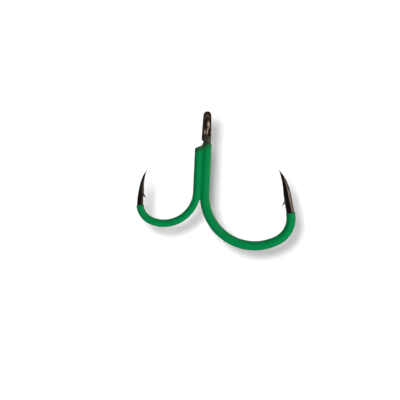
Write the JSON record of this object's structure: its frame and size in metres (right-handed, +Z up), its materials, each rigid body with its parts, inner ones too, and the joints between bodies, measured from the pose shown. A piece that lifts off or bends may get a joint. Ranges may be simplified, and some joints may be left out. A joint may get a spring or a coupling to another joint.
{
  "type": "fishing hook",
  "caption": "Unequal back-to-back fishing hook: a large barbed hook with a ring eye and a small barbed hook brazed to its shank, under one green coat.",
  "frame": {"origin": "middle of the eye's round hole", "axes": "+Z up the shanks towards the top of the eye, +X towards the large hook's point, +Y along the eye's plane; both hooks lie in the XZ plane"},
  "size_m": [0.0415, 0.0082, 0.0356],
  "materials": {
    "black_nickel": "bright black nickel plate on hardened steel wire",
    "braze": "dull silver braze, hidden under the coat",
    "green_coat": "satin powder coat, slightly uneven"
  },
  "bodies": {
    "root": {"large_hook": "black_nickel", "small_hook": "black_nickel", "braze_seam": "braze", "coating": "green_coat"}
  },
  "joints": []
}
